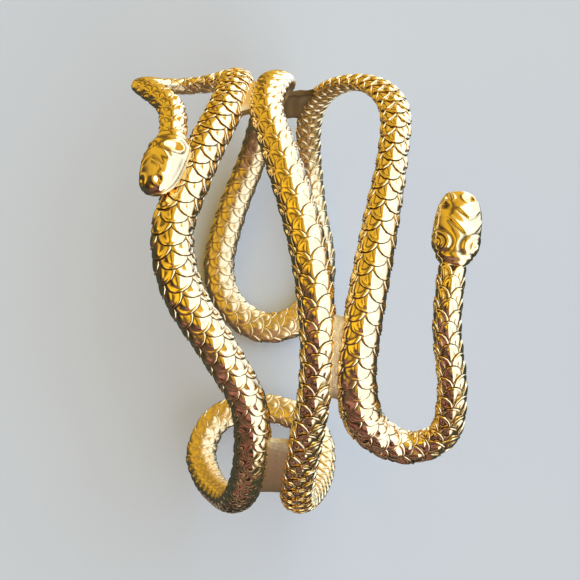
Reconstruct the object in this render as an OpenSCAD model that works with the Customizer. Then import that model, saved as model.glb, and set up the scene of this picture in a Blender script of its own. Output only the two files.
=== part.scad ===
/* [Cuff] */
// Outside height of the oval, across the arm
cuff_h = 80; // [64:1:110]
// Outside depth of the oval, from its front to its back
cuff_d = 74; // [60:1:100]
// Length along the arm, between the outermost strand middles
cuff_l = 52; // [44:1:70]
// How flat the back of the oval is, where 2 is a plain ellipse
back_flatness = 3; // [2:0.1:4]

/* [Snake body] */
// Width of the body where it is full
body_w = 6; // [4.4:0.1:7.4]
// Thickness of the body where it is full, out from the arm
body_t = 4.4; // [3.2:0.1:6.4]
// Length of one scale along the body
scale_l = 3.5; // [2.8:0.1:6]
// Height of a scale's free edge over the root of the next
scale_rise = 0.55; // [0.2:0.05:0.9]
// How many scales lie side by side round the body
scale_n = 5; // [4:1:7]

/* [Heads] */
// Length of a head, from neck to snout
head_l = 11.2; // [9:0.1:15]
// Width of a head across the cheeks
head_w = 7.2; // [6:0.1:9]
// Height of a head, from throat to crown
head_t = 5.4; // [4.4:0.1:7.5]
// Outside diameter of the ridge round an eye
eye_d = 3.2; // [2:0.1:4.4]
// Diameter of the dome over a nostril
nostril_d = 1.8; // [1:0.1:2.6]

/* [Webs] */
// Thickness of the plain webs between neighbouring bends
web_t = 1.6; // [1:0.1:2.6]

/* [Hidden] */

// The way of the body's middle line, from the left head to the right one. Columns: place along
// the arm as a share of half cuff_l, angle round the arm in degrees from the middle of the front,
// width as a share of body_w, then thickness and lift out from the oval as shares of body_t.
ALONG = 0;
ROUND = 1;
WIDE = 2;
THICK = 3;
LIFT = 4;
way = [
    // Neck of the left head and its hook over the top
    [-0.705, 38.5, 0.66, 0.66, 0.42],
    [-0.745, 53, 0.68, 0.62, 0.08],
    [-0.91, 67, 0.7, 0.58, -0.1],
    [-0.975, 77, 0.68, 0.55, -0.22],
    [-0.91, 88, 0.67, 0.55, -0.22],
    [-0.69, 92.5, 0.7, 0.57, -0.1],
    [-0.455, 88, 0.8, 0.68, 0],
    // First strand, down the front
    [-0.355, 76, 0.88, 0.82, 0],
    [-0.405, 54, 0.94, 0.94, 0],
    [-0.585, 30, 1, 1, 0],
    [-0.69, 15, 1.04, 1.04, 0],
    [-0.63, 0, 1.02, 1.02, 0],
    [-0.41, -16, 0.96, 0.96, 0],
    [-0.25, -30, 0.91, 0.91, 0],
    [-0.235, -46, 0.91, 0.91, 0],
    [-0.3, -64, 0.89, 0.89, 0],
    // Lower loop at the back
    [-0.44, -89, 0.88, 0.88, 0],
    [-0.615, -113, 0.91, 0.91, 0],
    [-0.69, -127, 0.93, 0.93, 0],
    [-0.585, -138, 0.93, 0.93, 0],
    [-0.31, -142, 0.93, 0.93, 0],
    [0, -140, 0.93, 0.93, 0],
    [0.2, -133.5, 0.92, 0.92, 0],
    [0.235, -123, 0.91, 0.91, 0],
    [0.17, -104, 0.89, 0.89, 0],
    // Second strand, up the front
    [0.06, -78, 0.88, 0.88, 0],
    [0.055, -55, 0.9, 0.9, 0],
    [0.145, -27, 0.81, 0.85, 0],
    [0.16, -8, 0.88, 0.88, 0],
    [0.1, 12, 0.92, 0.92, 0],
    [-0.055, 36.5, 0.88, 0.88, 0],
    [-0.15, 54, 0.87, 0.87, 0],
    [-0.11, 72, 0.89, 0.84, -0.05],
    [-0.07, 88, 0.86, 0.78, -0.12],
    // Upper loop at the back
    [-0.13, 108, 0.86, 0.8, -0.05],
    [-0.27, 134, 0.9, 0.9, 0],
    [-0.47, 154, 0.96, 0.96, 0],
    [-0.575, 171, 1, 1, 0],
    [-0.5, 184.5, 1, 1, 0],
    [-0.25, 192.5, 1, 1, 0],
    [0.025, 191, 0.97, 0.97, 0],
    [0.215, 182.5, 0.93, 0.93, 0],
    [0.255, 169, 0.9, 0.9, 0],
    [0.19, 152.5, 0.83, 0.83, 0],
    [0.145, 133, 0.77, 0.72, 0],
    [0.175, 117, 0.76, 0.62, -0.05],
    // Arch over the top and third strand, down the front
    [0.33, 92, 0.76, 0.56, -0.12],
    [0.525, 75, 0.76, 0.57, -0.12],
    [0.655, 55, 0.78, 0.66, -0.05],
    [0.62, 36, 0.74, 0.7, 0],
    [0.525, 15, 0.88, 0.88, 0],
    [0.415, -11, 0.96, 0.96, 0],
    [0.395, -25, 1, 1, 0],
    // Lower bend of the front and last strand, up to the right head
    [0.475, -37, 1.01, 1.01, 0],
    [0.715, -44, 0.94, 0.94, 0],
    [0.93, -39.5, 0.8, 0.8, 0],
    [0.965, -26, 0.71, 0.71, 0],
    [0.92, -9, 0.67, 0.67, 0],
    [0.955, 7.5, 0.66, 0.66, 0]
];
way_end = len(way) - 1;

// Each web joins two strands. Columns: where it starts and ends on the one strand and on the
// other, as row numbers of the way, and how much of its length is hollowed out of its two ends.
webs = [
    [7.3, 8.4, 32.4, 30.85, 0.3],
    [13.6, 15.07, 26.5, 25.54, 0.12],
    [28.25, 26.97, 50.8, 52.48, 0.1],
    [34.6, 33.8, 44.75, 45.7, 0.15]
];
web_across = 4;
web_along = 6;

// Sections of a head from neck to snout. Columns: place as a share of head_l, half width as a
// share of head_w, then height of the crown and depth of the throat as shares of head_t.
head_sections = [
    [-0.1, 0.22, 0.24, 0.24],
    [0, 0.3, 0.33, 0.3],
    [0.07, 0.41, 0.4, 0.35],
    [0.16, 0.48, 0.47, 0.4],
    [0.28, 0.5, 0.52, 0.43],
    [0.42, 0.5, 0.54, 0.44],
    [0.56, 0.49, 0.51, 0.43],
    [0.7, 0.46, 0.45, 0.4],
    [0.82, 0.4, 0.38, 0.36],
    [0.91, 0.3, 0.29, 0.28],
    [0.97, 0.17, 0.18, 0.18]
];
head_sides = 20;

// How each head is set on its neck. Columns: its row of the way, its direction along the way, then
// its turn to the outer side of the cuff, its nod towards the arm and the roll of its crown
// towards the outer side, all in degrees.
left_head = [0, -1, 19, 8, 17];
right_head = [way_end, 1, 4, 8, 6];

// Squareness of a head's sections, where 1 is an ellipse and less is squarer
head_round = 0.85;

// Places of the eyes and nostrils on a head: share of head_l, and angle from the crown
eye_at = [0.17, 46];
nostril_at = [0.82, 34];
boss_sides = 12;

// The strand middles run on an oval that leaves half the body's thickness outside it
mid_h = (cuff_h - body_t) / 2;
mid_d = (cuff_d - body_t) / 2;

function unit(v) = v / norm(v);

function oval_radius(angle) =
    let (n = cos(angle) >= 0 ? 2 : back_flatness)
    pow(pow(abs(sin(angle)) / mid_h, n) + pow(abs(cos(angle)) / mid_d, n), -1 / n);

function on_oval(x, angle, lift) =
    let (r = oval_radius(angle) + lift)
    [x, r * sin(angle), r * cos(angle)];

// A smooth curve through the rows of the way, which t counts
function way_at(t) =
    let (
        i = max(0, min(floor(t), way_end - 1)),
        f = t - i,
        a = way[max(i - 1, 0)],
        b = way[i],
        c = way[i + 1],
        d = way[min(i + 2, way_end)]
    )
    (2 * b + (c - a) * f + (2 * a - 5 * b + 4 * c - d) * f * f + (3 * b - a - 3 * c + d) * f * f * f) / 2;

function middle(t) =
    let (w = way_at(t))
    on_oval(w[ALONG] * cuff_l / 2, w[ROUND], w[LIFT] * body_t);

function ahead(t) = unit(middle(t + 0.05) - middle(t - 0.05));

function outward(t) =
    let (
        angle = way_at(t)[ROUND],
        chord = on_oval(0, angle + 1, 0) - on_oval(0, angle - 1, 0),
        out = [0, -chord[2], chord[1]],
        along = ahead(t)
    )
    unit(out - along * (out * along));

// Lengths along the middle line, each with its row number of the way
way_fine = 8;
lengths = [
    for (i = 0, s = 0; i <= way_end * way_fine;
         s = s + norm(middle((i + 1) / way_fine) - middle(i / way_fine)), i = i + 1)
        [s, i / way_fine]
];
body_len = lengths[way_end * way_fine][0];

// Scales overlap like tiles: each row of tips is half a scale on from the last and stands over
// the gaps between them, so rows are half a scale apart and every second corner is a tip.
rows = 2 * round(body_len / scale_l);
row_l = body_len / rows;
sides = 2 * scale_n;
tip_reach = 0.24 * row_l;

// One ring of the body at a length s: its middle, its two directions and its half sizes
function ring_at(s) =
    let (
        t = lookup(max(0, min(body_len, s)), lengths),
        w = way_at(t),
        out = outward(t)
    )
    [middle(t), out, cross(ahead(t), out), w[THICK] * body_t / 2, w[WIDE] * body_w / 2];

function ring_point(ring, angle, rise) =
    ring[0] + ring[1] * (ring[3] + rise) * cos(angle) + ring[2] * (ring[4] + rise) * sin(angle);

body_points = [
    for (k = [0:rows])
        let (tips = ring_at(k * row_l + tip_reach), roots = ring_at(k * row_l - tip_reach))
        for (j = [0:sides - 1])
            (j + k) % 2 == 0
                ? ring_point(tips, 360 * j / sides, scale_rise / 2)
                : ring_point(roots, 360 * j / sides, -scale_rise / 2)
];

// Faces of a skin of rings, each with n points, closed by a point at each end. Each patch is
// split from tip to tip.
function skin_faces(rings, n) = concat(
    [
        for (k = [0:rings - 2], j = [0:n - 1])
            let (
                a = k * n + j,
                b = k * n + (j + 1) % n,
                c = b + n,
                d = a + n,
                tip = (j + k) % 2 == 0
            )
            each tip ? [[a, c, b], [a, d, c]] : [[a, d, b], [b, d, c]]
    ],
    [for (j = [0:n - 1]) [rings * n, j, (j + 1) % n]],
    [for (j = [0:n - 1]) [rings * n + 1, (rings - 1) * n + (j + 1) % n, (rings - 1) * n + j]]
);

// Where a head sits: its root, then its directions ahead, to its left and up out of the crown
function head_frame(set) =
    let (
        along = set[1] * ahead(set[0]),
        out = outward(set[0]),
        turned = along * cos(set[2]) + cross(along, out) * sin(set[2]),
        x = turned * cos(set[3]) - out * sin(set[3]),
        top = out * cos(set[3]) + turned * sin(set[3]),
        up = top * cos(set[4]) + cross(x, top) * sin(set[4])
    )
    [middle(set[0]), x, cross(up, x), up];

left_head_at = head_frame(left_head);
right_head_at = head_frame(right_head);

function rounded(v) = sign(v) * pow(abs(v), head_round);

// A point of a head's skin, in the head's own directions, from a section and an angle that
// grows from the crown to the right
function head_local(section, angle) = [
    section[0] * head_l,
    -section[1] * head_w * rounded(sin(angle)),
    (cos(angle) >= 0 ? section[2] : section[3]) * head_t * rounded(cos(angle))
];

function placed(frame, p) = frame[0] + frame[1] * p[0] + frame[2] * p[1] + frame[3] * p[2];

head_skin = [
    for (section = head_sections, j = [0:head_sides - 1])
        head_local(section, 360 * j / head_sides)
];
head_ends = [[-0.1 * head_l, 0, 0], [head_l, 0, 0]];

// The cuff stands over the origin, with its back on the ground
extent = concat(
    body_points,
    [for (p = head_skin) placed(left_head_at, p)],
    [for (p = head_skin) placed(right_head_at, p)]
);
xs = [for (p = extent) p[0]];
ys = [for (p = extent) p[1]];
zs = [for (p = extent) p[2]];
to_origin = [-(min(xs) + max(xs)) / 2, -(min(ys) + max(ys)) / 2, -min(zs)];

module snake_body() {
    color("goldenrod")
        polyhedron(
            points = concat(body_points, [middle(0), middle(way_end)]),
            faces = skin_faces(rows + 1, sides)
        );
}

// A low round boss on a head's skin, turned from a profile of shares of its radius
module boss(at, d, profile, side) {
    section = [for (i = [0:3]) lookup(at[0], [for (s = head_sections) [s[0], s[i]]])];
    foot = head_local(section, side * at[1]);
    translate(foot)
        rotate([side * at[1], 0, 0])
            rotate_extrude($fn = boss_sides)
                polygon(profile * d / 2);
}

eye_profile = [[0, -0.8], [0.9, -0.8], [1, -0.15], [0.9, 0.08], [0.74, 0.12], [0.58, -0.06], [0.42, 0.12], [0, 0.22]];
nostril_profile = [[0, -0.8], [0.9, -0.8], [1, -0.05], [0.75, 0.28], [0.35, 0.44], [0, 0.48]];

module snake_head(frame) {
    color("gold")
        multmatrix([
            for (i = [0:2]) [frame[1][i], frame[2][i], frame[3][i], frame[0][i]]
        ]) {
            polyhedron(
                points = concat(head_skin, head_ends),
                faces = skin_faces(len(head_sections), head_sides)
            );
            for (side = [-1, 1]) {
                boss(eye_at, eye_d, eye_profile, side);
                boss(nostril_at, nostril_d, nostril_profile, side);
            }
        }
}

function web_point(web, u, v, face) =
    let (
        hollow = 1 - 4 * u * (1 - u) * web[4],
        w = 0.5 + (v - 0.5) * hollow,
        a = web[0] + (web[1] - web[0]) * w,
        b = web[2] + (web[3] - web[2]) * w
    )
    middle(a) * (1 - u) + middle(b) * u
        + unit(outward(a) * (1 - u) + outward(b) * u) * face * web_t / 2;

module web(row) {
    n = web_across + 1;
    m = web_along + 1;
    points = [
        for (face = [-1, 1], i = [0:m - 1], j = [0:n - 1])
            web_point(row, j / web_across, i / web_along, face)
    ];
    rim = concat(
        [for (j = [0:n - 1]) j],
        [for (i = [1:m - 1]) i * n + n - 1],
        [for (j = [n - 2:-1:0]) (m - 1) * n + j],
        [for (i = [m - 2:-1:1]) i * n]
    );
    color("goldenrod")
        polyhedron(
            points = points,
            faces = concat(
                [
                    for (i = [0:m - 2], j = [0:n - 2])
                        let (a = i * n + j)
                        each [[a, a + n + 1, a + 1], [a, a + n, a + n + 1]]
                ],
                [
                    for (i = [0:m - 2], j = [0:n - 2])
                        let (a = m * n + i * n + j)
                        each [[a, a + 1, a + n + 1], [a, a + n + 1, a + n]]
                ],
                [
                    for (k = [0:len(rim) - 1])
                        let (a = rim[k], b = rim[(k + 1) % len(rim)])
                        each [[a, b, b + m * n], [a, b + m * n, a + m * n]]
                ]
            )
        );
}

module serpent_cuff() {
    translate(to_origin) {
        snake_body();
        snake_head(left_head_at);
        snake_head(right_head_at);
        for (row = webs) web(row);
    }
}

serpent_cuff();
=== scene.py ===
import math

import bpy
import numpy as np
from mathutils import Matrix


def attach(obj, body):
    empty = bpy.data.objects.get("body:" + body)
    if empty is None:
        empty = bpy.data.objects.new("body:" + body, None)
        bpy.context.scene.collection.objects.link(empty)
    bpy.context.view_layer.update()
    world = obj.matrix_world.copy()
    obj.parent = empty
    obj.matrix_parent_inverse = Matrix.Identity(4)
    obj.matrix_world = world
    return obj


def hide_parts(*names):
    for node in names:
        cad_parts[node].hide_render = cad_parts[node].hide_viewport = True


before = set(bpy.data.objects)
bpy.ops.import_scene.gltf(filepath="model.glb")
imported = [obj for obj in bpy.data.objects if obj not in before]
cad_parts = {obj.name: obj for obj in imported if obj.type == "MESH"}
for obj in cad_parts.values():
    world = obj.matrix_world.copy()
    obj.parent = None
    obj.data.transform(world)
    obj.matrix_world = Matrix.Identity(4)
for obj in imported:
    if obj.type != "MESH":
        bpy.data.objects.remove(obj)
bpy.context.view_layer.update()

# The snake's body: one long rod of cast metal that winds up and down round the arm, thick on the
# front and slim over the top. The cuff lies on its back, so +Z is the front that the camera sees.
# Sizes are in millimetres where nothing else is said, and MM turns them into metres.
MM = 0.001
body_width = 6.0
body_thickness = 4.4
cuff_height = 80.0
cuff_depth = 74.0
cuff_length = 52.0
oval_middle = np.array([-0.88, 0.24, 37.28])

# The power of the oval that the strands follow, on the front's half and on the back's flatter one
front_power = 2
back_power = 3

# How far to each side, in rows of the winding and in degrees, a direction is taken from
rows_beside = 0.05
degrees_beside = 1

# Columns: place along the arm as a share of half the cuff's length, angle round the arm from the
# middle of the front, width, thickness and lift as shares of the full body's
winding = np.array([
    # Neck of the left head and its hook over the top
    [-0.705, 38.5, 0.66, 0.66, 0.42],
    [-0.745, 53, 0.68, 0.62, 0.08],
    [-0.91, 67, 0.7, 0.58, -0.1],
    [-0.975, 77, 0.68, 0.55, -0.22],
    [-0.91, 88, 0.67, 0.55, -0.22],
    [-0.69, 92.5, 0.7, 0.57, -0.1],
    [-0.455, 88, 0.8, 0.68, 0],
    # First strand, down the front
    [-0.355, 76, 0.88, 0.82, 0],
    [-0.405, 54, 0.94, 0.94, 0],
    [-0.585, 30, 1, 1, 0],
    [-0.69, 15, 1.04, 1.04, 0],
    [-0.63, 0, 1.02, 1.02, 0],
    [-0.41, -16, 0.96, 0.96, 0],
    [-0.25, -30, 0.91, 0.91, 0],
    [-0.235, -46, 0.91, 0.91, 0],
    [-0.3, -64, 0.89, 0.89, 0],
    # Lower loop at the back
    [-0.44, -89, 0.88, 0.88, 0],
    [-0.615, -113, 0.91, 0.91, 0],
    [-0.69, -127, 0.93, 0.93, 0],
    [-0.585, -138, 0.93, 0.93, 0],
    [-0.31, -142, 0.93, 0.93, 0],
    [0, -140, 0.93, 0.93, 0],
    [0.2, -133.5, 0.92, 0.92, 0],
    [0.235, -123, 0.91, 0.91, 0],
    [0.17, -104, 0.89, 0.89, 0],
    # Second strand, up the front
    [0.06, -78, 0.88, 0.88, 0],
    [0.055, -55, 0.9, 0.9, 0],
    [0.145, -27, 0.81, 0.85, 0],
    [0.16, -8, 0.88, 0.88, 0],
    [0.1, 12, 0.92, 0.92, 0],
    [-0.055, 36.5, 0.88, 0.88, 0],
    [-0.15, 54, 0.87, 0.87, 0],
    [-0.11, 72, 0.89, 0.84, -0.05],
    [-0.07, 88, 0.86, 0.78, -0.12],
    # Upper loop at the back
    [-0.13, 108, 0.86, 0.8, -0.05],
    [-0.27, 134, 0.9, 0.9, 0],
    [-0.47, 154, 0.96, 0.96, 0],
    [-0.575, 171, 1, 1, 0],
    [-0.5, 184.5, 1, 1, 0],
    [-0.25, 192.5, 1, 1, 0],
    [0.025, 191, 0.97, 0.97, 0],
    [0.215, 182.5, 0.93, 0.93, 0],
    [0.255, 169, 0.9, 0.9, 0],
    [0.19, 152.5, 0.83, 0.83, 0],
    [0.145, 133, 0.77, 0.72, 0],
    [0.175, 117, 0.76, 0.62, -0.05],
    # Arch over the top and third strand, down the front
    [0.33, 92, 0.76, 0.56, -0.12],
    [0.525, 75, 0.76, 0.57, -0.12],
    [0.655, 55, 0.78, 0.66, -0.05],
    [0.62, 36, 0.74, 0.7, 0],
    [0.525, 15, 0.88, 0.88, 0],
    [0.415, -11, 0.96, 0.96, 0],
    [0.395, -25, 1, 1, 0],
    # Lower bend of the front and last strand, up to the right head
    [0.475, -37, 1.01, 1.01, 0],
    [0.715, -44, 0.94, 0.94, 0],
    [0.93, -39.5, 0.8, 0.8, 0],
    [0.965, -26, 0.71, 0.71, 0],
    [0.92, -9, 0.67, 0.67, 0],
    [0.955, 7.5, 0.66, 0.66, 0],
])
last_row = len(winding) - 1


def winding_at(rows):
    """The winding's columns at any row numbers, on a smooth curve through its rows."""
    rows = np.atleast_1d(rows)
    first = np.clip(np.floor(rows), 0, last_row - 1).astype(int)
    f = (rows - first)[:, None]
    a, b = winding[np.maximum(first - 1, 0)], winding[first]
    c, d = winding[first + 1], winding[np.minimum(first + 2, last_row)]
    return (2 * b + (c - a) * f + (2 * a - 5 * b + 4 * c - d) * f**2
            + (3 * b - a - 3 * c + d) * f**3) / 2


def on_oval(along, angle, lift):
    """Points on the oval that the strands' middles follow, in millimetres from its own middle."""
    turn = np.radians(angle)
    power = np.where(np.cos(turn) >= 0, front_power, back_power)
    tall = np.abs(np.sin(turn)) / ((cuff_height - body_thickness) / 2)
    deep = np.abs(np.cos(turn)) / ((cuff_depth - body_thickness) / 2)
    radius = (tall**power + deep**power) ** (-1 / power) + lift
    return np.stack([along, radius * np.sin(turn), radius * np.cos(turn)], axis=-1)


def unit(vectors):
    """The same directions with a length of 1."""
    return vectors / np.linalg.norm(vectors, axis=-1, keepdims=True)


def middle_at(rows):
    """The middle of the body at any row numbers, in millimetres from the oval's middle."""
    columns = winding_at(rows)
    return on_oval(columns[:, 0] * cuff_length / 2, columns[:, 1], columns[:, 4] * body_thickness)


def ahead_at(rows):
    """The direction in which the body runs there."""
    return unit(middle_at(rows + rows_beside) - middle_at(rows - rows_beside))


def outward_at(rows):
    """The direction away from the arm there, square to the body."""
    angle = winding_at(rows)[:, 1]
    chord = (on_oval(0 * angle, angle + degrees_beside, 0)
             - on_oval(0 * angle, angle - degrees_beside, 0))
    out = np.stack([0 * angle, -chord[:, 2], chord[:, 1]], axis=-1)
    ahead = ahead_at(rows)
    return unit(out - ahead * np.sum(out * ahead, axis=-1, keepdims=True))


# The scales: four lie side by side round the body in staggered rows, like tiles, each with a
# rounded free edge, a fine raised rim and a drop-shaped boss. They are part of the same casting,
# which is plated with bright gold.
scale_length = 3.4
scales_round = 4
scale_rise = 0.55

# Shares of a scale's length: where it starts, where its slope passes through the skin, where its
# shoulders are, and how far its free edge, half an oval, reaches past them
scale_root = -0.9
scale_level = -0.38
scale_shoulder = -0.42
scale_point = 0.56

# Its half width as a share of the room that it has, and the steps round its free edge
scale_half = 0.52
scale_edge_steps = 8

# The wall under the free edge: how far its foot lies over the slope, and the highest that it may
skirt_height = -0.62
skirt_top = -scale_rise / 2 - 0.1

# How far past a scale's edge its painted shadow goes on the scales below, from full to none
shadow_full_to = 0.02
shadow_none_from = 0.11

# The closed skin under the scales: how deep it lies and its points round the body. Then how near
# points are made one, and the angle in degrees from which an edge is sharp.
skin_depth = 0.3
skin_points_round = 21
weld_distance = 0.002
scales_sharp_from = 60

# The body's middle line, which goes a little way into both heads, with so many steps for each row
# of the winding. So many rows of scales start within one scale's length.
spine_steps = 16
into_heads = 0.15
rows_per_scale = 2
spine_rows = np.linspace(-into_heads, last_row + into_heads, last_row * spine_steps + 1)
spine_points = middle_at(spine_rows)
spine_length = np.linalg.norm(np.diff(spine_points, axis=0), axis=1).sum()
scale_rows = rows_per_scale * round(spine_length / scale_length)
row_length = spine_length / scale_rows

# The gold is worn to a mirror on the tips of the scales. The crevices carry painted shade, dark
# brown, where the scales shadow one another. The side towards the arm is satin.
gold_colour = (0.94, 0.69, 0.31)
pale_gold_colour = (0.97, 0.76, 0.41)
painted_shade_colour = (0.07, 0.04, 0.015)
clouds_per_metre = 140.0

# How far the skin faces the arm, from -1 to 1, where the satin starts and where it is full
satin_start = -0.1
satin_full = 0.4
satin_roughness = 0.24

# The crevices' painted shade: its least share, how much more there is in the clouds, the share
# that is missing inside the cuff, and how much rougher the shaded places are
shade_least = 0.75
shade_in_clouds = 0.5
shade_missing_inside = 0.65
shade_roughness = 0.35


class Wire:
    """An output of a node in a tree. A sum or product of wires adds its Math nodes."""

    def __init__(self, tree, socket):
        self.tree, self.socket = tree, socket

    @staticmethod
    def node(tree, kind, settings=None, inputs=None, output=None):
        """Adds a node: its settings first, then a value or a wire for each named input."""
        made = tree.nodes.new(kind)
        for name, value in (settings or {}).items():
            if name == "stops":
                ramp = made.color_ramp.elements
                while len(ramp) < len(value):
                    ramp.new(1)
                for stop, (place, colour) in zip(ramp, value):
                    stop.position, stop.color = place, (*colour, 1)
            else:
                setattr(made, name, value)
        for name, value in (inputs or {}).items():
            socket = (made.inputs[name] if isinstance(name, int) else
                      next(s for s in made.inputs if s.name == name and s.enabled))
            if isinstance(value, Wire):
                tree.links.new(value.socket, socket)
            else:
                socket.default_value = value
        shown = [s for s in made.outputs if s.enabled]
        return Wire(tree, shown[0] if output is None else
                    next(s for s in shown if s.name == output))

    def output(self, name):
        """Another output of the same node."""
        return Wire(self.tree, next(s for s in self.socket.node.outputs
                                    if s.name == name and s.enabled))

    def math(self, operation, *others):
        values = dict(enumerate((self, *others)))
        return Wire.node(self.tree, "ShaderNodeMath", {"operation": operation}, values)

    def __add__(self, other):
        return self.math("ADD", other)

    def __radd__(self, other):
        return self.math("ADD", other)

    def __sub__(self, other):
        return self.math("SUBTRACT", other)

    def __rsub__(self, other):
        return Wire.node(self.tree, "ShaderNodeMath", {"operation": "SUBTRACT"},
                         {0: other, 1: self})

    def __mul__(self, other):
        return self.math("MULTIPLY", other)

    def __rmul__(self, other):
        return self.math("MULTIPLY", other)

    def __truediv__(self, other):
        return self.math("DIVIDE", other)

    def scaled(self, factor):
        """A vector wire times a number or a wire."""
        return Wire.node(self.tree, "ShaderNodeVectorMath", {"operation": "SCALE"},
                         {0: self, "Scale": factor})

    def plus(self, other):
        """The sum of two vector wires."""
        return Wire.node(self.tree, "ShaderNodeVectorMath", {"operation": "ADD"},
                         {0: self, 1: other})

    def fade(self, start, end):
        """0 at start and before it, 1 at end and past it, and smooth between them."""
        return Wire.node(self.tree, "ShaderNodeMapRange", {"interpolation_type": "SMOOTHSTEP"},
                         {"Value": self, "From Min": start, "From Max": end})

    def blend(self, low, high):
        """The colour that goes from low to high as this wire goes from 0 to 1."""
        low, high = (c if isinstance(c, Wire) else (*c, 1) for c in (low, high))
        return Wire.node(self.tree, "ShaderNodeMix", {"data_type": "RGBA"},
                         {0: self, 6: low, 7: high}, "Result")


def gold_finish(name, roughness, grain_size, grain_depth, shade_mask_of=None):
    """A polished gold with painted shade: it turns dark brown where the given shade mask, or else
    the mesh's own shade mask, is high.
    """
    material = bpy.data.materials.new(name)
    material.use_nodes = True
    tree = material.node_tree
    shader = tree.nodes["Principled BSDF"]
    if shade_mask_of:
        crevice = shade_mask_of(tree)
    else:
        crevice = Wire.node(tree, "ShaderNodeAttribute", {"attribute_name": "crevice"},
                            output="Fac")
    place = Wire.node(tree, "ShaderNodeTexCoord", output="Object")
    cloud = Wire.node(tree, "ShaderNodeTexNoise", {},
                      {"Vector": place, "Scale": clouds_per_metre, "Detail": 3.0}, "Fac")
    grain = Wire.node(tree, "ShaderNodeTexNoise", {},
                      {"Vector": place, "Scale": 1 / (grain_size * MM), "Detail": 2.0}, "Fac")
    inward = Wire.node(tree, "ShaderNodeAttribute", {"attribute_name": "inward"}, output="Fac")
    satin = inward.fade(satin_start, satin_full)
    # Painted shade: dark brown where the mask is high, patchy with the clouds and less on the side
    # towards the arm
    painted_shade = (crevice * (shade_least + shade_in_clouds * cloud)
            * (1 - shade_missing_inside * satin)).math("MINIMUM", 1.0)
    colour = painted_shade.blend(cloud.blend(gold_colour, pale_gold_colour), painted_shade_colour)
    bump = Wire.node(tree, "ShaderNodeBump", {},
                     {"Height": grain, "Strength": 1.0, "Distance": grain_depth * MM})
    shader.inputs["Metallic"].default_value = 1.0
    tree.links.new(colour.socket, shader.inputs["Base Color"])
    tree.links.new((roughness + shade_roughness * painted_shade + satin_roughness * satin).socket,
                   shader.inputs["Roughness"])
    tree.links.new(bump.socket, shader.inputs["Normal"])
    return material


def in_place(points):
    """Points in millimetres round the oval's middle, as metres in the cuff's own frame."""
    return (points + oval_middle) * MM


def new_piece(name, points, faces=(), edges=()):
    """A smooth mesh object from points in metres."""
    mesh = bpy.data.meshes.new(name)
    mesh.from_pydata(points, edges, faces)
    mesh.shade_smooth()
    piece = bpy.data.objects.new(name, mesh)
    bpy.context.scene.collection.objects.link(piece)
    return piece


def keep_on_points(piece, label, values):
    """Keeps a number or a vector for each point of a piece, under a name that its nodes read."""
    kind, field = ("FLOAT", "value") if values.ndim == 1 else ("FLOAT_VECTOR", "vector")
    kept = piece.data.attributes.new(label, kind, "POINT")
    kept.data.foreach_set(field, values.ravel())


def one_scale():
    """A scale on a flat sheet: a unit is a scale's length in X, its width in Y, 1 mm in Z."""
    turns = np.radians(np.linspace(-90, 90, scale_edge_steps + 1))
    # Columns: share of the reach and of the half width, the height over the scale's slope, then
    # the half width left at the root
    strips = [
        [1.0, 1.0, skirt_height, 1.0],
        [1.0, 1.0, -0.04, 1.0],
        [0.94, 0.94, 0.04, 1.0],
        [0.86, 0.74, -0.02, 0.2],
        [0.76, 0.46, -0.04, 0.12],
        [0.68, 0.35, 0.1, 0.08],
        [0.42, 0.18, 0.19, 0.04],
        [0.1, 0.0, 0.19, 0.0],
    ]
    columns = []
    for reach, wide, height, tail in strips:
        x = scale_shoulder + scale_point * np.abs(np.cos(turns)) * reach
        y = scale_half * np.sin(turns) * wide
        side = scale_half * tail
        x = np.concatenate([[scale_root], x, [scale_root]])
        y = np.concatenate([[-side], y, [side]])
        z = scale_rise * (x - scale_level) + height * (x > scale_root)
        if height == skirt_height:
            z = np.minimum(z, skirt_top)
        columns.append(np.stack([x, y, z * MM], axis=-1))
    n = len(columns[0])
    faces = []
    for strip in range(len(strips) - 1):
        for i in range(n - 1):
            a = strip * n + i
            faces.append([a, a + n, a + n + 1, a + 1])
    points = np.concatenate(columns)
    scale = new_piece("one_scale", points, faces)
    scale.data.flip_normals()
    keep_on_points(scale, "scale_along", points[:, 0])
    keep_on_points(scale, "scale_across", points[:, 1])
    return scale


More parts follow.
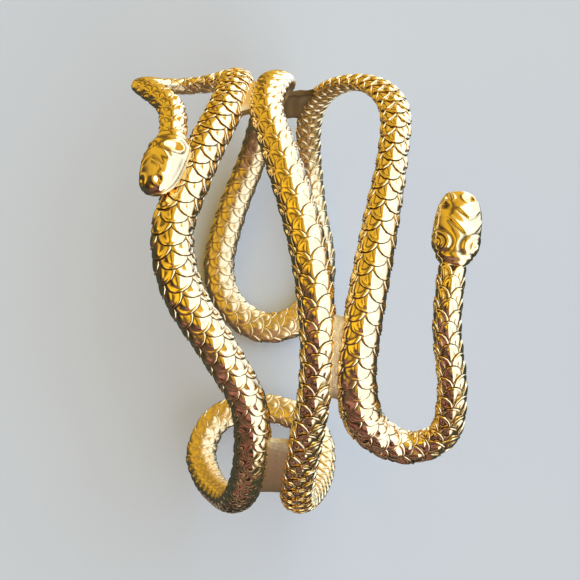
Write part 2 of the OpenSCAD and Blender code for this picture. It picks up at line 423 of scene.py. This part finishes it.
def scaled_skin_tree():
    """Lays scales on a flat sheet, then wraps the sheet round the spine that comes in."""
    tree = bpy.data.node_groups.new("scaled skin", "GeometryNodeTree")
    for name, kind in (("Spine", "Geometry"), ("Scale", "Object"), ("Row Length", "Float"),
                       ("Scales Round", "Int"), ("First Row", "Int"), ("Rows", "Int"),
                       ("Skin Depth", "Float"), ("Metal", "Material")):
        tree.interface.new_socket(name, in_out="INPUT", socket_type="NodeSocket" + kind)
    tree.interface.new_socket("Skin", in_out="OUTPUT", socket_type="NodeSocketGeometry")
    given = Wire(tree, tree.nodes.new("NodeGroupInput").outputs[0])
    row_length, scales_round = given.output("Row Length"), given.output("Scales Round")
    first_row, rows = given.output("First Row"), given.output("Rows")

    index = Wire.node(tree, "GeometryNodeInputIndex")
    row = (index / scales_round).math("FLOOR")
    place_in_row = index.math("FLOORED_MODULO", scales_round)
    row_number = row + first_row
    stagger = row_number.math("FLOORED_MODULO", 2.0) * 0.5
    at = Wire.node(tree, "ShaderNodeCombineXYZ", {},
                   {"X": row_number * row_length, "Y": place_in_row + stagger})
    points = Wire.node(tree, "GeometryNodePoints", {},
                       {"Count": rows * scales_round, "Position": at})
    scale = Wire.node(tree, "GeometryNodeObjectInfo", {},
                      {"Object": given.output("Scale")}, "Geometry")
    size = Wire.node(tree, "ShaderNodeCombineXYZ", {},
                     {"X": row_length * rows_per_scale, "Y": 1.0, "Z": 1.0})
    laid = Wire.node(tree, "GeometryNodeInstanceOnPoints", {},
                     {"Points": points, "Instance": scale, "Scale": size})
    scales = Wire.node(tree, "GeometryNodeRealizeInstances", {}, {"Geometry": laid})

    long = rows * row_length
    grid = Wire.node(tree, "GeometryNodeMeshGrid", {},
                     {"Size X": long, "Size Y": scales_round, "Vertices X": rows + 1.0,
                      "Vertices Y": skin_points_round}, "Mesh")
    below = Wire.node(tree, "ShaderNodeCombineXYZ", {},
                      {"X": long * 0.5 + first_row * row_length,
                       "Y": scales_round * 0.5, "Z": given.output("Skin Depth") * -1.0})
    under = Wire.node(tree, "GeometryNodeTransform", {},
                      {"Geometry": grid, "Translation": below})
    under = Wire.node(tree, "GeometryNodeStoreNamedAttribute",
                      {"data_type": "FLOAT", "domain": "POINT"},
                      {"Geometry": under, "Name": "scale_along", "Value": scale_root})
    sheet = Wire.node(tree, "GeometryNodeJoinGeometry")
    tree.links.new(under.socket, sheet.socket.node.inputs[0])
    tree.links.new(scales.socket, sheet.socket.node.inputs[0])

    flat = Wire.node(tree, "ShaderNodeSeparateXYZ", {},
                     {"Vector": Wire.node(tree, "GeometryNodeInputPosition")}, "X")
    spine = Wire.node(tree, "GeometryNodeMeshToCurve", {}, {"Mesh": given})

    def along_spine(name, kind):
        value = Wire.node(tree, "GeometryNodeInputNamedAttribute", {"data_type": kind},
                          {"Name": name})
        return Wire.node(tree, "GeometryNodeSampleCurve",
                         {"mode": "LENGTH", "data_type": kind},
                         {"Curves": spine, "Value": value, "Length": flat}, "Value")

    height = flat.output("Z")
    turn = flat.output("Y") / scales_round * (2 * math.pi)
    facing_out = turn.math("COSINE")
    thick = (along_spine("half_thick", "FLOAT") + height) * facing_out
    wide = (along_spine("half_wide", "FLOAT") + height) * turn.math("SINE")
    wrapped = along_spine("middle", "FLOAT_VECTOR")
    wrapped = wrapped.plus(along_spine("outward", "FLOAT_VECTOR").scaled(thick))
    wrapped = wrapped.plus(along_spine("sideways", "FLOAT_VECTOR").scaled(wide))
    skin = Wire.node(tree, "GeometryNodeStoreNamedAttribute",
                     {"data_type": "FLOAT", "domain": "POINT"},
                     {"Geometry": sheet, "Name": "inward", "Value": facing_out * -1.0})
    skin = Wire.node(tree, "GeometryNodeSetPosition", {},
                     {"Geometry": skin, "Position": wrapped})
    skin = Wire.node(tree, "GeometryNodeMergeByDistance", {},
                     {"Geometry": skin, "Distance": weld_distance * MM})
    skin = Wire.node(tree, "GeometryNodeRealizeInstances", {}, {"Geometry": skin})
    skin = Wire.node(tree, "GeometryNodeSetMaterial", {},
                     {"Geometry": skin, "Material": given.output("Metal")})
    out = tree.nodes.new("NodeGroupOutput")
    tree.links.new(skin.socket, out.inputs[0])
    return tree


def shadow_under_edges(tree):
    """A mask of painted shadow: 1 on a scale along the edges of the three that lie over it, fading
    within its surface.
    """
    along, across = (Wire.node(tree, "ShaderNodeAttribute", {"attribute_name": label},
                               output="Fac") for label in ("scale_along", "scale_across"))
    x = along - scale_shoulder
    beside = (((x + 0.5) / scale_point).math("POWER", 2.0)
              + ((across.math("ABSOLUTE") - 0.5) / scale_half).math("POWER", 2.0))
    behind = (((x + 1.0) / scale_point).math("POWER", 2.0)
              + (across / scale_half).math("POWER", 2.0))
    outside = beside.math("SQRT").math("MINIMUM", behind.math("SQRT")) - 1.0
    return outside.fade(shadow_none_from, shadow_full_to)


body_gold = gold_finish("body_gold", roughness=0.09, grain_size=0.9, grain_depth=0.02,
                        shade_mask_of=shadow_under_edges)
skin_tree = scaled_skin_tree()
scale_shape = one_scale()


def skin_stretch(name, first_row, rows):
    """The scaled skin over some rows of scales, as a plain mesh."""
    middle = in_place(spine_points)
    piece = new_piece(name, middle, edges=[(i, i + 1) for i in range(len(middle) - 1)])
    ahead, outward = ahead_at(spine_rows), outward_at(spine_rows)
    columns = winding_at(spine_rows)
    keep_on_points(piece, "middle", middle)
    keep_on_points(piece, "outward", outward)
    keep_on_points(piece, "sideways", np.cross(ahead, outward))
    keep_on_points(piece, "half_thick", columns[:, 3] * body_thickness / 2 * MM)
    keep_on_points(piece, "half_wide", columns[:, 2] * body_width / 2 * MM)
    wrap = piece.modifiers.new("skin", "NODES")
    wrap.node_group = skin_tree
    sizes = {"Scale": scale_shape, "Row Length": row_length * MM, "Scales Round": scales_round,
             "First Row": first_row, "Rows": rows, "Skin Depth": skin_depth * MM,
             "Metal": body_gold}
    for item in skin_tree.interface.items_tree:
        if item.name in sizes:
            wrap[item.identifier] = sizes[item.name]
    depsgraph = bpy.context.evaluated_depsgraph_get()
    piece.data = bpy.data.meshes.new_from_object(piece.evaluated_get(depsgraph))
    piece.modifiers.remove(wrap)
    piece.data.shade_smooth()
    piece.data.set_sharp_from_angle(angle=math.radians(scales_sharp_from))
    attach(piece, "root")
    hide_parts("serpent_cuff")


half_rows = scale_rows // 2
skin_stretch("scales_of_left_half", 0, half_rows)
skin_stretch("scales_of_right_half", half_rows, scale_rows - half_rows)
bpy.data.objects.remove(scale_shape)

# The heads: each end of the body is a blunt snake's head cast with it, with ringed eyes, plates
# on the crown, nostrils near the snout and a fine lip line. Both are the same small model.
head_length = 11.2
head_width = 7.2
head_height = 5.4
head_squareness = 0.85
crown_roundness = 1.05
head_steps = 84
head_sides = 120

# Shares of the head's length: where it starts inside the neck, the last ring before the tip, and
# the snout's plain end. The rings lie closer together towards the snout, by this power.
head_start = -0.1
head_last_ring = 0.999
plain_snout = 0.05
ring_crowding = 0.85

# The skin's way round from the crown's middle, as a share of a round head's, and the depth of
# groove at which its painted shade is full
way_round = 0.92
dark_groove = 0.2

# Ridges and grooves, each with its place, its width and its height in millimetres: round an eye
# in shares of its half sizes, along the neck, and down the sides in degrees from the crown
eyeball_ridges = [(0, 0.25, 0.36), (0.34, 0.07, -0.1), (0.47, 0.09, 0.15), (0.61, 0.08, -0.1)]
eye_groove = (1.05, 0.09, -0.2)
neck_ridges = [(0.1, 0.35, 0.2), (0.75, 0.2, -0.14)]
lip_ridges = [(90, 7, 0.14), (101, 4, -0.26), (112, 7, 0.12)]
lips_from = 1.6

# An eye's rim has a place and a width, and each head gives its height. A hollow eye's dish has a
# width, and each head gives its depth.
eye_rim = (0.82, 0.13)
eye_dish_width = 0.66

# The places along the head between which the seams pass from the eyes to the snout
seams_between = (2, 9.5)

# An eye's relief is gone at this angle from the crown, over so many degrees, but for a last share
eye_gone_at = 105
eye_going = 35
eye_left_over = 0.15

# The crown's plates: each line's start and end, as places along the head and round the skin from
# the crown's middle, with its width and height. They end in so wide a ring round the eye.
plate_lines = [
    ((3.5, 0), (6.0, 2.3), 0.28, 0.16),
    ((3.05, 0), (5.55, 2.4), 0.2, -0.16),
    ((6.3, 0), (7.6, 1.2), 0.28, 0.13),
    ((5.85, 0), (7.15, 1.3), 0.2, -0.13),
]
plates_fade = 0.2

# The nostrils and the pit between the nostril and the eye: places along the head and round the
# skin, with a ridge round each nostril and a hollow in it
nostril_at = (9.6, 1.35)
nostril_ridge = (0.8, 0.25, 0.14)
nostril_hollow = (0, 0.45, -0.3)
pit_at = (8.0, -1.8)
pit_half = (0.5, 0.75)
pit_lean = 0.4
pit_width = 0.7

# Columns: place along the head, half width, height of the crown and depth of the throat
head_sections = np.array([
    [-0.1, 0.24, 0.28, 0.26],
    [0, 0.33, 0.37, 0.34],
    [0.07, 0.41, 0.41, 0.36],
    [0.16, 0.48, 0.47, 0.4],
    [0.28, 0.5, 0.52, 0.43],
    [0.42, 0.5, 0.54, 0.44],
    [0.56, 0.49, 0.51, 0.43],
    [0.7, 0.46, 0.45, 0.4],
    [0.82, 0.4, 0.38, 0.36],
    [0.91, 0.3, 0.29, 0.28],
    [0.97, 0.17, 0.18, 0.18],
    [1, 0, 0, 0],
])


def bulge(distance, width):
    """1 on a line or at a place, and 0 some widths away from it."""
    return np.exp(-(distance / width) ** 2)


def ridges(distance, *rows):
    """Heights of ridges and grooves at a distance, from rows of a place, a width and a height."""
    return sum(height * bulge(distance - place, width) for place, width, height in rows)


def line_distance(x, w, start, end):
    """How far points lie from a line on the head's skin, all in millimetres."""
    start, step = np.array(start), np.array(end) - np.array(start)
    share = ((x - start[0]) * step[0] + (w - start[1]) * step[1]) / (step @ step)
    share = share.clip(0, 1)
    return np.hypot(x - start[0] - share * step[0], w - start[1] - share * step[1])


def head_relief(x, w, side_angle, seams, eye_at, eye_half, rim_height, dish_depth, pit_depth):
    """Heights of a head's fine detail and of its hollow eyes and nostrils, where x is the place
    along the head and w the way round the skin from the crown's middle. Seams are how far round
    the middles of the eyes, of the crown's plates and of the snout lie."""
    crown = np.abs(w - seams[1])
    side = w - np.interp(x, seams_between, (seams[0], seams[2]))
    w = np.abs(side)
    eye = np.hypot((x - eye_at[0]) / eye_half[0], (w - eye_at[1]) / eye_half[1])
    nostril = np.hypot(x - nostril_at[0], w - nostril_at[1])
    pit = (np.hypot((x - pit_at[0]) / pit_half[0], (side - pit_at[1]) / pit_half[1])
           + pit_lean * (x - pit_at[0]))

    relief = ridges(eye, (*eye_rim, rim_height), eye_groove)
    if not dish_depth:
        relief += ridges(eye, *eyeball_ridges)
    relief *= np.clip((eye_gone_at - side_angle) / eye_going, eye_left_over, 1)
    clear_of_eye = np.clip((eye - 1.0) / plates_fade, 0, 1)
    for start, end, width, height in plate_lines:
        relief += clear_of_eye * height * bulge(line_distance(x, crown, start, end), width)
    relief += ridges(nostril, nostril_ridge) - pit_depth * bulge(pit, pit_width)
    relief += ridges(x, *neck_ridges) + (x > lips_from) * ridges(side_angle, *lip_ridges)
    hollow = ridges(nostril, nostril_hollow) - dish_depth * bulge(eye, eye_dish_width)
    return relief, hollow


def snake_head(name, row, way, turn, nod, roll, ridge, **marks):
    """A head at a row of the winding, turned, nodded and rolled in degrees. Way is 1 where the
    head looks on along the winding and -1 where it looks back, ridge is how far the top of its
    crown lies to one side, and marks are head_relief's."""
    turn, nod, roll = np.radians([turn, nod, roll])
    along, out = way * ahead_at(row)[0], outward_at(row)[0]
    turned = along * np.cos(turn) + np.cross(along, out) * np.sin(turn)
    front = turned * np.cos(nod) - out * np.sin(nod)
    top = out * np.cos(nod) + turned * np.sin(nod)
    crown = top * np.cos(roll) + np.cross(front, top) * np.sin(roll)
    left = np.cross(crown, front)

    crowded = np.sin(np.linspace(0, np.pi / 2, head_steps)) ** ring_crowding
    place = head_start + (1 - head_start) * crowded
    place[-1] = head_last_ring
    half, high, deep = (np.interp(place, head_sections[:, 0], head_sections[:, c])
                        for c in (1, 2, 3))
    for _ in range(2):
        for column in (half, high, deep):
            column[1:-1] = (column[:-2] + 2 * column[1:-1] + column[2:]) / 4
    angle = np.linspace(-180, 180, head_sides, endpoint=False)
    turn_round = np.radians(angle)[None, :]

    def squared(v, power=head_squareness):
        return np.sign(v) * np.abs(v) ** power

    x = (place * head_length)[:, None] + 0 * turn_round
    y = -half[:, None] * head_width * squared(np.sin(turn_round))
    y -= 2 * half[:, None] * ridge * np.cos(turn_round).clip(0, 1) ** 2
    crown_z = high[:, None] * squared(np.cos(turn_round), crown_roundness)
    z = head_height * np.where(np.cos(turn_round) >= 0, crown_z,
                               deep[:, None] * squared(np.cos(turn_round)))
    skin = np.stack([x, y, z], axis=-1)
    closed = np.concatenate([skin[:, -1:], skin, skin[:, :1]], axis=1)
    across = closed[:, 2:] - closed[:, :-2]
    lengthwise = np.gradient(skin, axis=0)
    normal = unit(np.cross(lengthwise, across) + 1e-9)
    normal *= np.sign(np.sum(normal[head_steps // 2, 0] * skin[head_steps // 2, 0]))
    w = turn_round * (half[:, None] * head_width * way_round)
    relief, hollow = head_relief(x, w, np.abs(angle)[None, :] + 0 * x, **marks)
    before_snout = np.clip((1 - place[:, None]) / plain_snout, 0, 1)
    skin = skin + normal * ((relief + hollow) * before_snout)[..., None]

    ends = [[head_start * head_length, 0, 0], [head_length, 0, 0]]
    points = np.concatenate([skin.reshape(-1, 3), ends])
    last_ring, neck_end, tip = (head_steps - 1) * head_sides, len(points) - 2, len(points) - 1
    faces = []
    for ring in range(0, last_ring, head_sides):
        for j in range(head_sides):
            k = (j + 1) % head_sides
            faces.append([ring + j, ring + k, ring + head_sides + k, ring + head_sides + j])
    for j in range(head_sides):
        k = (j + 1) % head_sides
        faces.append([neck_end, k, j])
        faces.append([tip, last_ring + j, last_ring + k])
    placed = middle_at(row)[0] + points @ np.stack([front, left, crown])
    head = new_piece(name, in_place(placed), faces)
    head.data.flip_normals()
    # Painted shade: the deeper a groove, the darker the gold in it
    low = np.clip(-relief / dark_groove, 0, 1).ravel()
    keep_on_points(head, "crevice", np.concatenate([low, [0, 0]]))
    head.data.materials.append(head_gold)
    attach(head, "root")
    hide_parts("serpent_cuff")


head_gold = gold_finish("head_gold", roughness=0.1, grain_size=1.4, grain_depth=0.04)
snake_head("left_head", 0, -1, turn=19, nod=8, roll=17, ridge=0, seams=(0.3, 0.3, 0.35),
           eye_at=(3.2, 2.5), eye_half=(1.35, 2.2), rim_height=0.2375, dish_depth=0.75,
           pit_depth=0)
snake_head("right_head", last_row, 1, turn=4, nod=8, roll=6, ridge=1.2, seams=(-1.1, 0, -1.3),
           eye_at=(1.95, 2.9), eye_half=(2, 2.3), rim_height=0.14, dish_depth=0,
           pit_depth=0.34)

# The webs: four plain plates of the same casting that tie neighbouring strands together. Their
# faces are a little uneven and duller, as a file leaves them.
web_thickness = 1.6
web_points_across = 40
web_points_along = 24
webs_sharp_from = 40

# How much of the thickness the free edges lose, and the power that keeps the loss near them
rim_loss = 0.35
rim_power = 10

# The file's marks: their depth as a share of the thickness and how far they slant
mark_depth = 0.12
mark_slant = 0.25

# The painted shade beside the strands, which shadow the plate, and on the free edges, and the
# powers that keep it near them
strand_shade, strand_shade_power = 0.7, 3
edge_shade, edge_shade_power = 0.35, 6

# Columns: start and end on one strand and on the other, in rows of the winding, then the share
# hollowed out, the number of file marks, and the painted shade over the whole plate, which also
# makes it duller
webs = {
    "upper_front_web": [7.3, 8.4, 32.4, 30.85, 0.3, 0, 0],
    "lower_front_web": [13.6, 15.07, 26.5, 25.54, 0.12, 0, 0],
    "middle_web": [28.25, 26.97, 50.8, 52.48, 0.1, 0, 0.1],
    "upper_back_web": [34.6, 33.8, 44.75, 45.7, 0.15, 4, 0.55],
}
web_gold = gold_finish("web_gold", roughness=0.36, grain_size=0.8, grain_depth=0.08)


def web_plate(name, start_a, end_a, start_b, end_b, hollow, marks, shade_and_dullness):
    """A plate between two stretches of the body, whose two free edges are hollowed."""
    across, along = web_points_across, web_points_along
    u, v = (grid.ravel() for grid in np.meshgrid(np.linspace(0, 1, across),
                                                 np.linspace(0, 1, along)))
    w = 0.5 + (v - 0.5) * (1 - 4 * u * (1 - u) * hollow)
    one = start_a + (end_a - start_a) * w
    other = start_b + (end_b - start_b) * w
    near, far = (1 - u)[:, None], u[:, None]
    centre = middle_at(one) * near + middle_at(other) * far
    out = unit(outward_at(one) * near + outward_at(other) * far)
    rounded_rim = 1 - rim_loss * np.abs(2 * v - 1) ** rim_power
    marked = 1 - mark_depth * (1 - np.cos(2 * np.pi * marks * (u + mark_slant * v)))
    thick = out * web_thickness / 2 * (rounded_rim * marked)[:, None]
    points = np.concatenate([centre + thick, centre - thick])
    other_side = across * along
    faces = []
    for i in range(along - 1):
        for j in range(across - 1):
            a = i * across + j
            faces.append([a, a + 1, a + across + 1, a + across])
            b = a + other_side
            faces.append([b, b + across, b + across + 1, b + 1])
    rim = ([*range(across)] + [i * across + across - 1 for i in range(1, along)]
           + [(along - 1) * across + j for j in range(across - 2, -1, -1)]
           + [i * across for i in range(along - 2, 0, -1)])
    for a, b in zip(rim, rim[1:] + rim[:1]):
        faces.append([a, other_side + a, other_side + b, b])
    web = new_piece(name, in_place(points), faces)
    # Painted shade: darker beside the strands and on the free edges, and over the whole plate as
    # its table gives
    painted_shade = (shade_and_dullness + strand_shade * np.abs(2 * u - 1) ** strand_shade_power
            + edge_shade * np.abs(2 * v - 1) ** edge_shade_power)
    keep_on_points(web, "crevice", np.tile(painted_shade.clip(0, 1), 2))
    web.data.materials.append(web_gold)
    web.data.set_sharp_from_angle(angle=math.radians(webs_sharp_from))
    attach(web, "root")
    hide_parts("serpent_cuff")


for name, columns in webs.items():
    web_plate(name, *columns)

# The floor: a plain pale surface that sweeps up into a round wall far behind the cuff. It doesn't
# show in the metal, which mirrors only the light round it, and it throws no shadow of its own.
# Its sizes are in metres.
floor_colour = (0.7, 0.73, 0.69)
flat_radius = 2
sweep_radius = 1
wall_top = 5
floor_sides = 96
sweep_steps = 12
sweep = np.radians(np.linspace(0, 90, sweep_steps + 1))
floor_profile = [*zip(flat_radius + sweep_radius * np.sin(sweep),
                      sweep_radius * (1 - np.cos(sweep))),
                 (flat_radius + sweep_radius, wall_top)]
floor_points = [(r * math.cos(t), r * math.sin(t), z) for r, z in floor_profile
                for t in np.linspace(0, 2 * math.pi, floor_sides, endpoint=False)]
floor_faces = []
for j in range(floor_sides):
    k = (j + 1) % floor_sides
    floor_faces.append([len(floor_points), j, k])
    for ring in range(0, len(floor_points) - floor_sides, floor_sides):
        floor_faces.append([ring + j, ring + floor_sides + j, ring + floor_sides + k, ring + k])
floor = new_piece("floor", floor_points + [(0, 0, 0)], floor_faces)
floor.visible_glossy = floor.visible_diffuse = floor.visible_shadow = False
floor_paint = bpy.data.materials.new("floor_paint")
floor_paint.use_nodes = True
floor_shader = floor_paint.node_tree.nodes["Principled BSDF"]
floor_shader.inputs["Base Color"].default_value = (*floor_colour, 1)
floor_shader.inputs["Roughness"].default_value = 1.0
floor_shader.inputs["Specular IOR Level"].default_value = 0.0
floor.data.materials.append(floor_paint)

# The light: a soft white wall on the right, warm yellow strips on the left, softer pink and brown
# bands towards the bottom of the picture, and a dark room below. A place in the room is how far
# it lies to the right, to the top or overhead, from -1 to 1, or its tilt to the bottom in degrees.
below_light = (0.06, 0.07, 0.07)
far_left_light = (0.2, 0.15, 0.08)
far_left_share = 0.45

# Columns: place from the left, at -1, to the middle, then the colour there overhead and on the
# side of the picture's top, and the colour on the side of its bottom
left_strips = [
    (-1.0, (0.10, 0.08, 0.05), (0.03, 0.02, 0.02)),
    (-0.86, (0.05, 0.03, 0.02), (0.05, 0.04, 0.04)),
    (-0.76, (0.95, 0.63, 0.07), (0.12, 0.08, 0.08)),
    (-0.62, (1.4, 0.95, 0.08), (0.14, 0.1, 0.1)),
    (-0.46, (1.0, 0.68, 0.05), (0.12, 0.08, 0.07)),
    (-0.36, (0.15, 0.1, 0.04), (0.1, 0.07, 0.06)),
    (-0.26, (0.2, 0.14, 0.05), (0.16, 0.11, 0.08)),
    (-0.16, (0.75, 0.49, 0.06), (0.5, 0.34, 0.07)),
    (0.12, (0.85, 0.62, 0.14), (0.45, 0.34, 0.18)),
]

# Columns: place to the right, up to 1, then the colour there
right_strips = [
    (0.1, (2.4, 2.65, 3.2)),
    (0.4, (1.6, 1.95, 2.6)),
    (0.7, (1.05, 1.3, 2.0)),
    (0.85, (1.4, 1.7, 2.4)),
    (1.0, (0.8, 1.0, 1.6)),
]

# Columns: tilt to the picture's bottom, then the colour there
front_bands = [
    (0, (0.15, 0.11, 0.11)),
    (30, (0.16, 0.11, 0.12)),
    (40, (0.46, 0.23, 0.3)),
    (47, (0.38, 0.17, 0.22)),
    (53, (0.04, 0.03, 0.02)),
    (60, (0.04, 0.03, 0.02)),
    (65, (0.32, 0.14, 0.18)),
    (71, (0.24, 0.1, 0.13)),
    (76, (0.02, 0.018, 0.015)),
    (84, (0.02, 0.02, 0.018)),
    (87, (0.85, 0.68, 0.6)),
    (90, (0.03, 0.03, 0.02)),
    (95, (0.32, 0.14, 0.18)),
    (101, (0.24, 0.1, 0.13)),
    (105, (0.02, 0.02, 0.02)),
    (110, (0.02, 0.025, 0.025)),
    (113, (0.75, 0.62, 0.58)),
    (116, (0.03, 0.035, 0.04)),
    (122, (0.14, 0.08, 0.09)),
    (128, (0.03, 0.035, 0.04)),
    (146, (0.03, 0.035, 0.04)),
    (150, (0.9, 0.75, 0.68)),
    (154, (0.04, 0.05, 0.06)),
]
world = bpy.data.worlds.new("room")
world.use_nodes = True
room = world.node_tree
to_right = Wire.node(room, "ShaderNodeSeparateXYZ", {},
                   {"Vector": Wire.node(room, "ShaderNodeTexCoord", output="Generated")}, "X")
to_top, overhead = to_right.output("Y"), to_right.output("Z")
tilt = to_top.math("ARCTAN2", overhead) * (-180 / math.pi)


def banded(rows, column, value):
    """The colour of a table's rows where value lies along their first column."""
    first, last = rows[0][0], rows[-1][0]
    stops = [((row[0] - first) / (last - first), row[column]) for row in rows]
    return Wire.node(room, "ShaderNodeValToRGB", {"stops": stops},
                     {"Fac": (value - first) / (last - first)}, "Color")


# Each light lies over the ones before it, and fades in from one place to another
wall = tilt.fade(4.0, 28.0)
wall = wall.blend(banded(left_strips, 1, to_right), banded(left_strips, 2, to_right))
far_left = to_top.fade(0.15, 0.5) * to_right.fade(-0.3, -0.6)
wall = (far_left_share * far_left).blend(wall, far_left_light)
right = to_right.fade(0.12, 0.24) * tilt.fade(84.0, 66.0)
wall = right.blend(wall, banded(right_strips, 1, to_right))
below = overhead.fade(0.06, -0.1) * to_top.fade(0.45, 0.1)
wall = below.blend(wall, below_light)
middle = to_right.fade(-0.7, -0.45) * to_right.fade(0.3, 0.12)
front = tilt.fade(30.0, 38.0) * tilt.fade(165.0, 155.0) * middle
wall = front.blend(wall, banded(front_bands, 1, tilt))
room.links.new(wall.socket, room.nodes["Background"].inputs["Color"])
bpy.context.scene.world = world
bpy.context.scene.view_settings.view_transform = "Standard"

# The camera looks straight down at the front of the cuff, as in the photograph, from so many
# millimetres above the oval's middle and with a view of so many degrees.
camera_height = 214
camera_view = 27.66
camera = bpy.data.objects.new("camera", bpy.data.cameras.new("camera"))
camera.location = in_place(np.array([0, 0, camera_height]))
camera.data.angle = math.radians(camera_view)
camera.data.clip_start = 0.01
bpy.context.scene.collection.objects.link(camera)
bpy.context.scene.camera = camera
